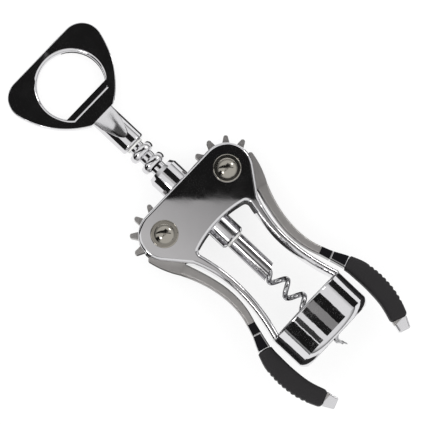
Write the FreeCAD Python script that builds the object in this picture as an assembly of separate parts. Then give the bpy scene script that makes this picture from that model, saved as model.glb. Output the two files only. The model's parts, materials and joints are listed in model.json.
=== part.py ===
import FreeCAD, Part
import math
import os

# Lever corkscrew with two geared levers, a ringed rack, a bottle bell and an opener handle.
#
# Every piece is drawn in the tool's own frame, in millimetres: X across the levers, Y along the
# spindle towards the handle, Z towards the front, with the lever pivots at Y = 0. At the end the
# closed tool is laid on its back, the way it rests on a table, with +Z up.

Vector = FreeCAD.Vector
ALONG = Vector(0, 1, 0)
FRONT = Vector(0, 0, 1)
RIGHT = 1
LEFT = -1

# ---- Driving dimensions -------------------------------------------------------------------------

RUNNING_GAP = 0.05         # radial clearance of a shaft that turns or slides in a hole
THRUST_GAP = 0.1           # end clearance of the turning spindle
SAME_PLACE = 0.02          # two points nearer than this count as the same

# frame casting: two cheeks and two legs
FRAME_HALF_DEPTH = 7.7
PIVOT_X = 19.5
LOBE_RADIUS = 11.3
LOBE_END_DEG = -38.0
HIP = (20.1, -17.6)
LEG_WAIST_Y = -38.0
LEG_WAIST_OUTER_X = 15.95
LEG_WAIST_INNER_X = 12.8
LEG_OUTER_UPPER_BOW = 52.0
LEG_BOW = 85.0
LEG_END_Y = -66.0
CHEEK_BOTTOM_Y = -13.0
CHEEK_CORNER_Y = -15.6
FRAME_EDGE_ROUND = 1.35
FRAME_CORNER_ROUND = 2.0
LEG_FOOT_ROUND = 1.4
SLOT_HALF_DEPTH = 3.35
GEAR_POCKET_RADIUS = 15.2

# rack: a ringed sleeve that slides in the frame
RACK_PITCH = 6.7
RING_RADIUS = 5.85
RING_CORE_RADIUS = 3.4
RING_HALF_BASE = 2.3
RING_HALF_CROWN = 1.6
RING_CROWN_DROP = 0.5
RING_COUNT = 6
FIRST_RING_Y = -1.54
RACK_BOTTOM_Y = -22.5
RACK_TOP_Y = 35.6
RACK_BOTTOM_CHAMFER = 0.8
GUIDE_GAP = 0.08
CUT_MARGIN = 1.0           # how far a cutting tool reaches past what it cuts

# gear sectors on the levers
TOOTH_STEP_DEG = 31.5
TOOTH_COUNT = 7
LAST_TOOTH_DEG = 203.0
TOOTH_TIP_RADIUS = 14.85
TOOTH_SHOULDER_RADIUS = 14.2
TOOTH_ROOT_RADIUS = 10.0
TOOTH_HALF_ROOT = 1.9
TOOTH_HALF_TIP = 0.95
GEAR_DISC_RADIUS = 10.5
GEAR_HALF_DEPTH = 3.2

# collar that guides the rack
COLLAR_RADIUS = 7.3
COLLAR_TOP_Y = 20.8
COLLAR_SPIGOT_RADIUS = 6.7
COLLAR_SPIGOT_Y = 9.3
COLLAR_CHAMFER = 1.8
COLLAR_LIP = 0.3

# pivots
PIVOT_PIN_RADIUS = 3.0
RIVET_HEAD_RADIUS = 4.4
RIVET_HEAD_HEIGHT = 1.9
WASHER_RADIUS = 6.1
WASHER_THICKNESS = 0.9
WASHER_EDGE = 0.5

# bell that sits over the bottle's mouth
BELL_RADIUS = 20.5
BELL_TOP_Y = -64.5
BELL_BOTTOM_Y = -83.3
BELL_TOP_ROUND = 1.1
BELL_RIM_Y = -80.4         # below this the rim turns in on a curve
BELL_RIM_MIDDLE = (19.5, -82.1)
BELL_RIM_RADIUS = 18.1
BELL_WEB = 2.5
BELL_BORE_RADIUS = 16.6
BELL_HOLE_RADIUS = 5.0
LINER_BORE_RADIUS = 15.2
LINER_WEB = 1.5
LINER_BOTTOM_Y = -82.2
LINER_MOUTH_CHAMFER = 0.8

# levers
PIVOT_STEP_RADIUS = 16.1
ARM_HALF_DEPTH = 4.6
ARM_EDGE_ROUND = 0.7
HEEL_TOP = (31.4, -1.9)
HEEL_OUTER = (32.3, -3.0)
HEEL_INNER = (30.2, -2.2)
HEEL_BACK = (30.3, -10.0)
FERRULE_HALF_DEPTH = 4.4
GRIP_HALF_DEPTH = 4.6
TIP_HALF_DEPTH = 3.4
TANG_HALF_DEPTH = 2.2
FERRULE_EDGE_ROUND = 0.45
GRIP_EDGE_ROUND = 1.9
GRIP_END_ROUND = 2.1
TIP_EDGE_ROUND = 0.8
# centre line of the right lever from the gear to its end, and each stretch's widths along it
LEVER_LINE = [(24.7, -16.0), (21.35, -26.0), (19.4, -38.0), (20.0, -47.0), (21.7, -53.0),
              (23.3, -58.0), (25.85, -65.0), (27.3, -71.5), (27.7, -80.0), (26.6, -89.0),
              (23.5, -97.9), (21.6, -102.9)]
ARM_START = 0
ARM_WIDTHS = [4.8, 4.0, 3.8, 3.5, 3.4]
FERRULE_START = 4
FERRULE_WIDTHS = [3.4, 3.9, 5.4]
GRIP_START = 6
GRIP_WIDTHS = [6.4, 8.1, 8.8, 8.5, 7.7]
TIP_START = 10
TIP_WIDTHS = [6.6, 5.2]
TANG_WIDTHS = [2.2, 2.4, 2.6, 2.8, 2.8, 2.8, 2.8]

# handle with the crown cap opener
PLATE_HALF_DEPTH = 2.6
PLATE_FAR_Y = 92.3
PLATE_CORNER_X = 16.3
PLATE_CORNER_RADIUS = 9.3
PLATE_SIDE_RADIUS = 40.4
PLATE_SIDE_DEG = -12.7
PLATE_NEAR_Y = 55.3
PLATE_EDGE_ROUND = 0.35
OPENER_Y = 73.8
OPENER_RADIUS = 14.7
OPENER_FLAT_Y = 62.9
OPENER_EDGE_ROUND = 1.75
LIP_END_Y = 64.8           # the lip that goes under the crown cap's edge
LIP_FRONT_Z = 2.2
LIP_THICKNESS = 2.4
LIP_ROOT = 0.7             # how deep the lip runs into the plate
TONGUE_HALF_WIDTH = 3.0
TONGUE_HALF_DEPTH = 1.3
TONGUE_END_Y = 48.5
NECK_RADIUS = 5.85
NECK_END_Y = 36.5
NECK_END_ROUND = 1.1
RAMP_APEX_Y = 41.0
RAMP_EDGE_ROUND = 0.8

# spindle that turns inside the rack
ROD_RADIUS = 2.0
ROD_TOP_Y = 47.5
ROD_BOTTOM_Y = -35.0
THRUST_WASHER_RADIUS = 4.05
THRUST_WASHER_THICKNESS = 0.8
SOCKET_RADIUS = 4.05
SOCKET_END_Y = -43.2
SOCKET_SLANT_DEG = 18.0
SOCKET_CHAMFER = 0.4
SOCKET_GRIP_RADIUS = 1.85
SOCKET_MOUTH_RADIUS = 3.3
SOCKET_MOUTH_SLOPE = 0.6

# worm
WORM_COIL_RADIUS = 3.05
WORM_WIRE_RADIUS = 1.15
WORM_PITCH = 9.7
WORM_START_Y = -38.0
WORM_FULL_Y = -46.5
WORM_DRAW_IN_Y = -79.0      # from here the coil draws in towards the axis
WORM_POINT_Y = -84.6        # from here the wire thins to its point
WORM_TIP_Y = -88.4
WORM_SHANK_Y = -42.2
WORM_SHANK_COIL_RADIUS = 0.8
WORM_TIP_COIL_RADIUS = 0.3
WORM_POINT_RADIUS = 0.2
WORM_LEFT_PEAK_Y = -46.2
WORM_SECTIONS_PER_TURN = 9


# ---- Small helpers ------------------------------------------------------------------------------

def flat(point, z=0.0):
    return Vector(point[0], point[1], z)


def line(a, b):
    return Part.makeLine(flat(a), flat(b))


def arc(a, through, b):
    return Part.Arc(flat(a), flat(through), flat(b)).toShape()


def on_circle(centre, radius, degrees):
    angle = math.radians(degrees)
    return (centre[0] + radius * math.cos(angle), centre[1] + radius * math.sin(angle))


def arc_about(centre, radius, start_deg, end_deg):
    middle = (start_deg + end_deg) / 2.0
    return arc(on_circle(centre, radius, start_deg), on_circle(centre, radius, middle),
               on_circle(centre, radius, end_deg))


def spline(points):
    curve = Part.BSplineCurve()
    curve.interpolate([flat(p) for p in points])
    return curve.toShape()


def slab(edges, half_depth):
    """Extrude a closed outline drawn in the XY plane to both sides of that plane."""
    face = Part.Face(Part.Wire(Part.__sortEdges__(edges)))
    face.translate(Vector(0, 0, -half_depth))
    return face.extrude(Vector(0, 0, 2.0 * half_depth))


def mirrored(shape):
    return shape.mirror(Vector(0, 0, 0), Vector(1, 0, 0))


def sided(shape, side):
    """A piece drawn for the right side, or its mirror image for the left side."""
    return shape if side == RIGHT else mirrored(shape)


def turned(profile, degrees=360.0):
    """Turn a closed list of (radius, y) points about the tool's axis."""
    corners = [Vector(r, y, 0) for r, y in profile]
    face = Part.Face(Part.makePolygon(corners + corners[:1]))
    return face.revolve(Vector(0, 0, 0), ALONG, degrees)


def turned_edges(edges):
    face = Part.Face(Part.Wire(Part.__sortEdges__(edges)))
    return face.revolve(Vector(0, 0, 0), ALONG, 360.0)


def rod(radius, bottom_y, top_y):
    return Part.makeCylinder(radius, top_y - bottom_y, Vector(0, bottom_y, 0), ALONG)


def peg(x, radius, half_depth):
    """A cylinder through the tool from front to back."""
    return Part.makeCylinder(radius, 2.0 * half_depth, Vector(x, 0, -half_depth), FRONT)


def face_edges(shape, z):
    """The edges that lie in the plane at height z."""
    found = []
    for edge in shape.Edges:
        box = edge.BoundBox
        if abs(box.ZMin - z) < SAME_PLACE and abs(box.ZMax - z) < SAME_PLACE:
            found.append(edge)
    return found


def upright_edges(shape, points):
    """The edges that stand through the slab at the given outline points, on both sides."""
    found = []
    for edge in shape.Edges:
        box = edge.BoundBox
        for x, y in points:
            if max(abs(abs(box.XMin) - x), abs(abs(box.XMax) - x),
                   abs(box.YMin - y), abs(box.YMax - y)) < SAME_PLACE:
                found.append(edge)
    return found


def rounded(shape, half_depth, radius):
    """Round the front and back outlines of a slab."""
    edges = face_edges(shape, half_depth) + face_edges(shape, -half_depth)
    return shape.makeFillet(radius, edges)


def solid(shape):
    """The one solid that a shape made of a single piece holds."""
    clean = shape.removeSplitter()
    if len(clean.Solids) != 1:
        raise ValueError("expected one solid, found %d" % len(clean.Solids))
    return clean.Solids[0]


def strip_sides(first, widths):
    """Both sides of a stretch of the lever, from its centre line and its widths."""
    centre = Part.BSplineCurve()
    centre.interpolate([flat(point) for point in LEVER_LINE])
    outer = []
    inner = []
    for (x, y), width in zip(LEVER_LINE[first:], widths):
        tangent = centre.tangent(centre.parameter(Vector(x, y, 0)))[0]
        across = Vector(-tangent.y, tangent.x, 0) * (width / 2.0)
        outer.append((x + across.x, y + across.y))
        inner.append((x - across.x, y - across.y))
    return outer, inner


def strip(first, widths, half_depth):
    outer, inner = strip_sides(first, widths)
    edges = [spline(outer), line(outer[-1], inner[-1]), spline(inner), line(inner[0], outer[0])]
    return slab(edges, half_depth)


def long_edges(shape, half_depth):
    """The long front and back edges of a strip, without those across its ends."""
    edges = face_edges(shape, half_depth) + face_edges(shape, -half_depth)
    return [edge for edge in edges if edge.Curve.TypeId != "Part::GeomLine"]


# ---- Frame --------------------------------------------------------------------------------------

def bowed(waist_x, bow, y):
    """X of a leg edge that bows away from its waist on a circle."""
    rise = y - LEG_WAIST_Y
    return waist_x + bow - math.sqrt(bow * bow - rise * rise)


def leg_arc(waist_x, bow, y_from, y_to):
    y_middle = (y_from + y_to) / 2.0
    return arc((bowed(waist_x, bow, y_from), y_from), (bowed(waist_x, bow, y_middle), y_middle),
               (bowed(waist_x, bow, y_to), y_to))


def frame_half_outline():
    pivot = (PIVOT_X, 0.0)
    lobe_end = on_circle(pivot, LOBE_RADIUS, LOBE_END_DEG)
    hip_middle_y = (HIP[1] + LEG_WAIST_Y) / 2.0
    hip_middle = (bowed(LEG_WAIST_OUTER_X, LEG_OUTER_UPPER_BOW, hip_middle_y), hip_middle_y)
    waist = (LEG_WAIST_OUTER_X, LEG_WAIST_Y)
    outer_end = (bowed(LEG_WAIST_OUTER_X, LEG_BOW, LEG_END_Y), LEG_END_Y)
    inner_end = (bowed(LEG_WAIST_INNER_X, LEG_BOW, LEG_END_Y), LEG_END_Y)
    corner = (bowed(LEG_WAIST_INNER_X, LEG_BOW, CHEEK_CORNER_Y), CHEEK_CORNER_Y)
    return [
        line((0.0, LOBE_RADIUS), (PIVOT_X, LOBE_RADIUS)),
        arc_about(pivot, LOBE_RADIUS, 90.0, LOBE_END_DEG),
        line(lobe_end, HIP),
        arc(HIP, hip_middle, waist),
        leg_arc(LEG_WAIST_OUTER_X, LEG_BOW, LEG_WAIST_Y, LEG_END_Y),
        line(outer_end, inner_end),
        leg_arc(LEG_WAIST_INNER_X, LEG_BOW, LEG_END_Y, CHEEK_CORNER_Y),
    ], corner, [outer_end, inner_end]


def gear_pockets():
    """Room between the cheeks for both gear sectors and for the levers beside them."""
    pockets = []
    for side in (RIGHT, LEFT):
        pockets.append(peg(side * PIVOT_X, GEAR_POCKET_RADIUS, SLOT_HALF_DEPTH))
        side_room = Part.makeBox(GEAR_POCKET_RADIUS, 2.0 * GEAR_POCKET_RADIUS, 2.0 * SLOT_HALF_DEPTH,
                                 Vector(PIVOT_X, -GEAR_POCKET_RADIUS, -SLOT_HALF_DEPTH))
        pockets.append(sided(side_room, side))
    return pockets


def make_frame():
    half, corner, feet = frame_half_outline()
    under_arch = arc(corner, (0.0, CHEEK_BOTTOM_Y), (-corner[0], corner[1]))
    block = slab(half + [mirrored(edge) for edge in half] + [under_arch], FRAME_HALF_DEPTH)
    block = block.makeFillet(FRAME_CORNER_ROUND, upright_edges(block, [HIP, corner]))
    block = block.makeFillet(LEG_FOOT_ROUND, upright_edges(block, feet))
    block = rounded(block, FRAME_HALF_DEPTH, FRAME_EDGE_ROUND)
    cuts = gear_pockets()
    cuts.append(rod(RING_RADIUS + GUIDE_GAP, BELL_TOP_Y, LOBE_RADIUS + CUT_MARGIN))
    cuts.append(rod(COLLAR_SPIGOT_RADIUS, COLLAR_SPIGOT_Y, LOBE_RADIUS + CUT_MARGIN))
    cuts.append(rod(BELL_RADIUS, BELL_BOTTOM_Y, BELL_TOP_Y))
    cuts += [peg(side * PIVOT_X, PIVOT_PIN_RADIUS, FRAME_HALF_DEPTH + CUT_MARGIN) for side in (RIGHT, LEFT)]
    return solid(block.cut(cuts))


def make_guide_collar():
    bore = RING_RADIUS + GUIDE_GAP
    return turned([
        (bore, COLLAR_SPIGOT_Y), (COLLAR_SPIGOT_RADIUS, COLLAR_SPIGOT_Y),
        (COLLAR_SPIGOT_RADIUS, LOBE_RADIUS), (COLLAR_RADIUS, LOBE_RADIUS),
        (COLLAR_RADIUS, COLLAR_TOP_Y - COLLAR_CHAMFER), (bore + COLLAR_LIP, COLLAR_TOP_Y),
        (bore, COLLAR_TOP_Y),
    ])


def make_bell():
    top_round = (BELL_RADIUS - BELL_TOP_ROUND, BELL_TOP_Y - BELL_TOP_ROUND)
    web_y = BELL_TOP_Y - BELL_WEB
    return turned_edges([
        line((BELL_HOLE_RADIUS, BELL_TOP_Y), (top_round[0], BELL_TOP_Y)),
        arc_about(top_round, BELL_TOP_ROUND, 90.0, 0.0),
        line((BELL_RADIUS, top_round[1]), (BELL_RADIUS, BELL_RIM_Y)),
        arc((BELL_RADIUS, BELL_RIM_Y), BELL_RIM_MIDDLE, (BELL_RIM_RADIUS, BELL_BOTTOM_Y)),
        line((BELL_RIM_RADIUS, BELL_BOTTOM_Y), (BELL_BORE_RADIUS, BELL_BOTTOM_Y)),
        line((BELL_BORE_RADIUS, BELL_BOTTOM_Y), (BELL_BORE_RADIUS, web_y)),
        line((BELL_BORE_RADIUS, web_y), (BELL_HOLE_RADIUS, web_y)),
        line((BELL_HOLE_RADIUS, web_y), (BELL_HOLE_RADIUS, BELL_TOP_Y)),
    ])


def make_bell_liner():
    top = BELL_TOP_Y - BELL_WEB
    seat = top - LINER_WEB
    return turned([
        (BELL_HOLE_RADIUS, top), (BELL_BORE_RADIUS, top), (BELL_BORE_RADIUS, LINER_BOTTOM_Y),
        (LINER_BORE_RADIUS + LINER_MOUTH_CHAMFER, LINER_BOTTOM_Y),
        (LINER_BORE_RADIUS, LINER_BOTTOM_Y + LINER_MOUTH_CHAMFER), (LINER_BORE_RADIUS, seat),
        (BELL_HOLE_RADIUS, seat),
    ])


def make_pivot_rivet(side):
    base_z = FRAME_HALF_DEPTH + WASHER_THICKNESS
    top_z = base_z + RIVET_HEAD_HEIGHT
    dome_radius = (RIVET_HEAD_RADIUS ** 2 + RIVET_HEAD_HEIGHT ** 2) / (2.0 * RIVET_HEAD_HEIGHT)
    dome = Part.makeSphere(dome_radius, Vector(side * PIVOT_X, 0, top_z - dome_radius))
    head = dome.common(Part.makeCylinder(RIVET_HEAD_RADIUS, RIVET_HEAD_HEIGHT,
                                         Vector(side * PIVOT_X, 0, base_z), FRONT))
    tail = head.mirror(Vector(0, 0, 0), FRONT)
    return solid(peg(side * PIVOT_X, PIVOT_PIN_RADIUS, base_z).fuse([head, tail]))


def make_pivot_washer(side, facing):
    base_z = FRAME_HALF_DEPTH if facing > 0 else -FRAME_HALF_DEPTH
    outward = FRONT * facing
    centre = Vector(side * PIVOT_X, 0, base_z)
    disc = Part.makeCylinder(WASHER_RADIUS, WASHER_THICKNESS, centre, outward)
    disc = disc.makeFillet(WASHER_EDGE, face_edges(disc, base_z + facing * WASHER_THICKNESS))
    return solid(disc.cut(Part.makeCylinder(PIVOT_PIN_RADIUS, WASHER_THICKNESS, centre, outward)))


# ---- Rack ---------------------------------------------------------------------------------------

def ring_edges(centre_y):
    shoulder = RING_RADIUS - RING_CROWN_DROP
    low = (shoulder, centre_y - RING_HALF_CROWN)
    high = (shoulder, centre_y + RING_HALF_CROWN)
    return [
        line((RING_CORE_RADIUS, centre_y - RING_HALF_BASE), low),
        arc(low, (RING_RADIUS, centre_y), high),
        line(high, (RING_CORE_RADIUS, centre_y + RING_HALF_BASE)),
    ]


def make_rack_sleeve():
    bore = ROD_RADIUS + RUNNING_GAP
    shoulder = RING_RADIUS - RING_CROWN_DROP
    journal_y = FIRST_RING_Y - RACK_PITCH
    edges = [
        line((bore, RACK_TOP_Y), (bore, RACK_BOTTOM_Y)),
        line((bore, RACK_BOTTOM_Y), (RING_RADIUS - RACK_BOTTOM_CHAMFER, RACK_BOTTOM_Y)),
        line((RING_RADIUS - RACK_BOTTOM_CHAMFER, RACK_BOTTOM_Y),
             (RING_RADIUS, RACK_BOTTOM_Y + RACK_BOTTOM_CHAMFER)),
        line((RING_RADIUS, RACK_BOTTOM_Y + RACK_BOTTOM_CHAMFER), (RING_RADIUS, journal_y)),
        line((RING_RADIUS, journal_y), (shoulder, journal_y + RING_HALF_CROWN)),
        line((shoulder, journal_y + RING_HALF_CROWN), (RING_CORE_RADIUS, journal_y + RING_HALF_BASE)),
    ]
    below_y = journal_y + RING_HALF_BASE
    for index in range(RING_COUNT):
        centre_y = FIRST_RING_Y + index * RACK_PITCH
        edges.append(line((RING_CORE_RADIUS, below_y), (RING_CORE_RADIUS, centre_y - RING_HALF_BASE)))
        edges += ring_edges(centre_y)
        below_y = centre_y + RING_HALF_BASE
    edges.append(line((RING_CORE_RADIUS, below_y), (RING_CORE_RADIUS, RACK_TOP_Y)))
    edges.append(line((RING_CORE_RADIUS, RACK_TOP_Y), (bore, RACK_TOP_Y)))
    return turned_edges(edges)


def make_thrust_washer(bottom_y):
    disc = rod(THRUST_WASHER_RADIUS, bottom_y, bottom_y + THRUST_WASHER_THICKNESS)
    return disc.cut(rod(ROD_RADIUS + RUNNING_GAP, bottom_y, bottom_y + THRUST_WASHER_THICKNESS))


# ---- Levers, drawn for the right side -----------------------------------------------------------

def tooth(degrees):
    """One tooth of the sector, drawn pointing along +X and then turned about the pivot."""
    root_low = (TOOTH_ROOT_RADIUS, -TOOTH_HALF_ROOT)
    root_high = (TOOTH_ROOT_RADIUS, TOOTH_HALF_ROOT)
    tip_low = (TOOTH_SHOULDER_RADIUS, -TOOTH_HALF_TIP)
    tip_high = (TOOTH_SHOULDER_RADIUS, TOOTH_HALF_TIP)
    edges = [line(root_high, root_low), line(root_low, tip_low),
             arc(tip_low, (TOOTH_TIP_RADIUS, 0.0), tip_high), line(tip_high, root_high)]
    shape = slab(edges, GEAR_HALF_DEPTH)
    shape.rotate(Vector(0, 0, 0), FRONT, degrees)
    shape.translate(Vector(PIVOT_X, 0, 0))
    return shape


def lever_root():
    """The thin plate that joins the arm to the gear disc, with the heel at its outer corner."""
    outer, inner = strip_sides(ARM_START, ARM_WIDTHS)
    pivot = (PIVOT_X, 0.0)
    edges = [line(inner[0], pivot), line(pivot, HEEL_INNER), arc(HEEL_INNER, HEEL_TOP, HEEL_OUTER),
             arc(HEEL_OUTER, HEEL_BACK, outer[0]), line(outer[0], inner[0])]
    return slab(edges, GEAR_HALF_DEPTH)


def make_lever():
    arm = strip(ARM_START, ARM_WIDTHS, ARM_HALF_DEPTH)
    arm = arm.makeFillet(ARM_EDGE_ROUND, long_edges(arm, ARM_HALF_DEPTH))
    arm = arm.cut(peg(PIVOT_X, PIVOT_STEP_RADIUS, ARM_HALF_DEPTH + CUT_MARGIN))
    tip = strip(TIP_START, TIP_WIDTHS, TIP_HALF_DEPTH)
    tip = tip.makeFillet(TIP_EDGE_ROUND, tip_edges(tip))
    pieces = [tooth(LAST_TOOTH_DEG - index * TOOTH_STEP_DEG) for index in range(TOOTH_COUNT)]
    pieces += [lever_root(), strip(ARM_START, ARM_WIDTHS, GEAR_HALF_DEPTH), arm,
               strip(FERRULE_START, TANG_WIDTHS, TANG_HALF_DEPTH), tip]
    body = peg(PIVOT_X, GEAR_DISC_RADIUS, GEAR_HALF_DEPTH).fuse(pieces)
    return solid(body.cut(peg(PIVOT_X, PIVOT_PIN_RADIUS + RUNNING_GAP, ARM_HALF_DEPTH)))


def tip_edges(tip):
    """Every edge of the lever's end except those on the face that meets the grip."""
    outer, inner = strip_sides(TIP_START, TIP_WIDTHS)
    start = flat(LEVER_LINE[TIP_START])
    heading = (flat(outer[0]) - flat(inner[0])).cross(FRONT)
    heading.normalize()
    if (flat(LEVER_LINE[-1]) - start).dot(heading) < 0:
        heading = -heading
    return [edge for edge in tip.Edges
            if max((corner.Point - start).dot(heading) for corner in edge.Vertexes) > SAME_PLACE]


def make_ferrule():
    body = strip(FERRULE_START, FERRULE_WIDTHS, FERRULE_HALF_DEPTH)
    body = body.makeFillet(FERRULE_EDGE_ROUND, long_edges(body, FERRULE_HALF_DEPTH))
    return solid(body.cut(strip(FERRULE_START, TANG_WIDTHS, TANG_HALF_DEPTH)))


def make_grip():
    outer, inner = strip_sides(GRIP_START, GRIP_WIDTHS)
    body = strip(GRIP_START, GRIP_WIDTHS, GRIP_HALF_DEPTH)
    body = body.makeFillet(GRIP_END_ROUND, upright_edges(body, [outer[-1], inner[-1]]))
    outlines = face_edges(body, GRIP_HALF_DEPTH) + face_edges(body, -GRIP_HALF_DEPTH)
    start_y = max(outer[0][1], inner[0][1]) - SAME_PLACE
    body = body.makeFillet(GRIP_EDGE_ROUND, [edge for edge in outlines if edge.BoundBox.YMax < start_y
                                             or edge.Curve.TypeId != "Part::GeomLine"])
    return solid(body.cut(strip(FERRULE_START, TANG_WIDTHS, TANG_HALF_DEPTH)))


# ---- Handle and spindle -------------------------------------------------------------------------

def plate_half_outline():
    corner = (PLATE_CORNER_X, PLATE_FAR_Y - PLATE_CORNER_RADIUS)
    reach = PLATE_SIDE_RADIUS - PLATE_CORNER_RADIUS
    side_centre = on_circle(corner, -reach, PLATE_SIDE_DEG)
    drop = side_centre[1] - PLATE_NEAR_Y
    end_deg = -math.degrees(math.asin(drop / PLATE_SIDE_RADIUS))
    end = on_circle(side_centre, PLATE_SIDE_RADIUS, end_deg)
    return [
        line((0.0, PLATE_FAR_Y), (PLATE_CORNER_X, PLATE_FAR_Y)),
        arc_about(corner, PLATE_CORNER_RADIUS, 90.0, PLATE_SIDE_DEG),
        arc_about(side_centre, PLATE_SIDE_RADIUS, PLATE_SIDE_DEG, end_deg),
    ], end


def opener_hole():
    centre = (0.0, OPENER_Y)
    flat_deg = math.degrees(math.asin((OPENER_FLAT_Y - OPENER_Y) / OPENER_RADIUS))
    low_right = on_circle(centre, OPENER_RADIUS, flat_deg)
    low_left = (-low_right[0], low_right[1])
    edges = [arc_about(centre, OPENER_RADIUS, flat_deg, 180.0 - flat_deg), line(low_left, low_right)]
    return slab(edges, PLATE_HALF_DEPTH + CUT_MARGIN)


def opener_lip():
    """The thin ledge across the hole's flat side."""
    reach = OPENER_RADIUS + LIP_ROOT
    start_y = OPENER_FLAT_Y - LIP_ROOT
    back_z = LIP_FRONT_Z - LIP_THICKNESS
    ledge = Part.makeBox(2.0 * reach, LIP_END_Y - start_y, LIP_THICKNESS, Vector(-reach, start_y, back_z))
    disc = Part.makeCylinder(reach, LIP_THICKNESS, Vector(0, OPENER_Y, back_z), FRONT)
    return ledge.common(disc)


def tongue():
    """The tongue that holds the plate in the neck."""
    return Part.makeBox(2.0 * TONGUE_HALF_WIDTH, PLATE_NEAR_Y - TONGUE_END_Y, 2.0 * TONGUE_HALF_DEPTH,
                        Vector(-TONGUE_HALF_WIDTH, TONGUE_END_Y, -TONGUE_HALF_DEPTH))


def outline_edges(plate, inside_hole):
    """Front and back edges of the plate: those round its hole, or those round its outside."""
    edges = face_edges(plate, PLATE_HALF_DEPTH) + face_edges(plate, -PLATE_HALF_DEPTH)
    near_y = PLATE_NEAR_Y + SAME_PLACE
    limit = OPENER_RADIUS + SAME_PLACE
    found = []
    for edge in edges:
        box = edge.BoundBox
        in_hole = box.YMax < OPENER_Y + limit and box.YMin > OPENER_FLAT_Y - SAME_PLACE and box.XMax < limit
        if in_hole == inside_hole and box.YMax > near_y:
            found.append(edge)
    return found


def make_opener_plate():
    half, end = plate_half_outline()
    near_edge = line(end, (-end[0], end[1]))
    plate = slab(half + [mirrored(edge) for edge in half] + [near_edge], PLATE_HALF_DEPTH)
    plate = plate.makeFillet(PLATE_EDGE_ROUND, outline_edges(plate, False))
    plate = plate.cut(opener_hole())
    plate = plate.makeFillet(OPENER_EDGE_ROUND, outline_edges(plate, True))
    return solid(plate.fuse([opener_lip(), tongue()]))


def neck_ramp():
    """Wedge that is cut from the neck's front, from the plate's face down to the ramp's apex."""
    reach = NECK_RADIUS + CUT_MARGIN
    apex = Vector(-reach, RAMP_APEX_Y, NECK_RADIUS)
    low = Vector(-reach, PLATE_NEAR_Y, PLATE_HALF_DEPTH)
    high = Vector(-reach, PLATE_NEAR_Y, reach)
    over = Vector(-reach, RAMP_APEX_Y, reach)
    face = Part.Face(Part.makePolygon([apex, low, high, over, apex]))
    return face.extrude(Vector(2.0 * reach, 0, 0))


def make_neck():
    round_centre = (NECK_RADIUS - NECK_END_ROUND, NECK_END_Y + NECK_END_ROUND)
    body = turned_edges([
        line((ROD_RADIUS, NECK_END_Y), (round_centre[0], NECK_END_Y)),
        arc_about(round_centre, NECK_END_ROUND, -90.0, 0.0),
        line((NECK_RADIUS, round_centre[1]), (NECK_RADIUS, PLATE_NEAR_Y)),
        line((NECK_RADIUS, PLATE_NEAR_Y), (0.0, PLATE_NEAR_Y)),
        line((0.0, PLATE_NEAR_Y), (0.0, ROD_TOP_Y)),
        line((0.0, ROD_TOP_Y), (ROD_RADIUS, ROD_TOP_Y)),
        line((ROD_RADIUS, ROD_TOP_Y), (ROD_RADIUS, NECK_END_Y)),
    ])
    front = neck_ramp()
    body = body.cut([front, front.mirror(Vector(0, 0, 0), FRONT)])
    ramp_edges = [edge for edge in body.Edges if edge.Curve.TypeId == "Part::GeomEllipse"]
    body = body.makeFillet(RAMP_EDGE_ROUND, ramp_edges)
    return solid(body.cut(tongue()))


def make_spindle_rod():
    return rod(ROD_RADIUS, ROD_BOTTOM_Y, ROD_TOP_Y)


def socket_top_y():
    return RACK_BOTTOM_Y - THRUST_WASHER_THICKNESS - THRUST_GAP


def worm_centre(y):
    """Centre of the worm's wire at height y: a right-hand helix, drawn in at both ends."""
    if y > WORM_SHANK_Y:
        radius = WORM_SHANK_COIL_RADIUS
    elif y > WORM_FULL_Y:
        share = (1.0 - math.cos(math.pi * (WORM_SHANK_Y - y) / (WORM_SHANK_Y - WORM_FULL_Y))) / 2.0
        radius = WORM_SHANK_COIL_RADIUS + (WORM_COIL_RADIUS - WORM_SHANK_COIL_RADIUS) * share
    elif y > WORM_DRAW_IN_Y:
        radius = WORM_COIL_RADIUS
    else:
        share = (WORM_DRAW_IN_Y - y) / (WORM_DRAW_IN_Y - WORM_TIP_Y)
        radius = WORM_COIL_RADIUS + (WORM_TIP_COIL_RADIUS - WORM_COIL_RADIUS) * share
    angle = math.pi - 2.0 * math.pi * (y - WORM_LEFT_PEAK_Y) / WORM_PITCH
    return Vector(radius * math.cos(angle), y, radius * math.sin(angle))


def wire_radius(y):
    if y > WORM_POINT_Y:
        return WORM_WIRE_RADIUS
    share = (WORM_POINT_Y - y) / (WORM_POINT_Y - WORM_TIP_Y)
    return WORM_WIRE_RADIUS + (WORM_POINT_RADIUS - WORM_WIRE_RADIUS) * share


def wire_section(y):
    heading = worm_centre(y - SAME_PLACE) - worm_centre(y + SAME_PLACE)
    return Part.Wire(Part.makeCircle(wire_radius(y), worm_centre(y), heading))


def make_worm():
    """The wire is lofted through round sections."""
    spacing = WORM_PITCH / WORM_SECTIONS_PER_TURN
    count = int(round((WORM_START_Y - WORM_TIP_Y) / spacing))
    spacing = (WORM_START_Y - WORM_TIP_Y) / count
    sections = [wire_section(WORM_START_Y - index * spacing) for index in range(count + 1)]
    return Part.makeLoft(sections, True, False)


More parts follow.
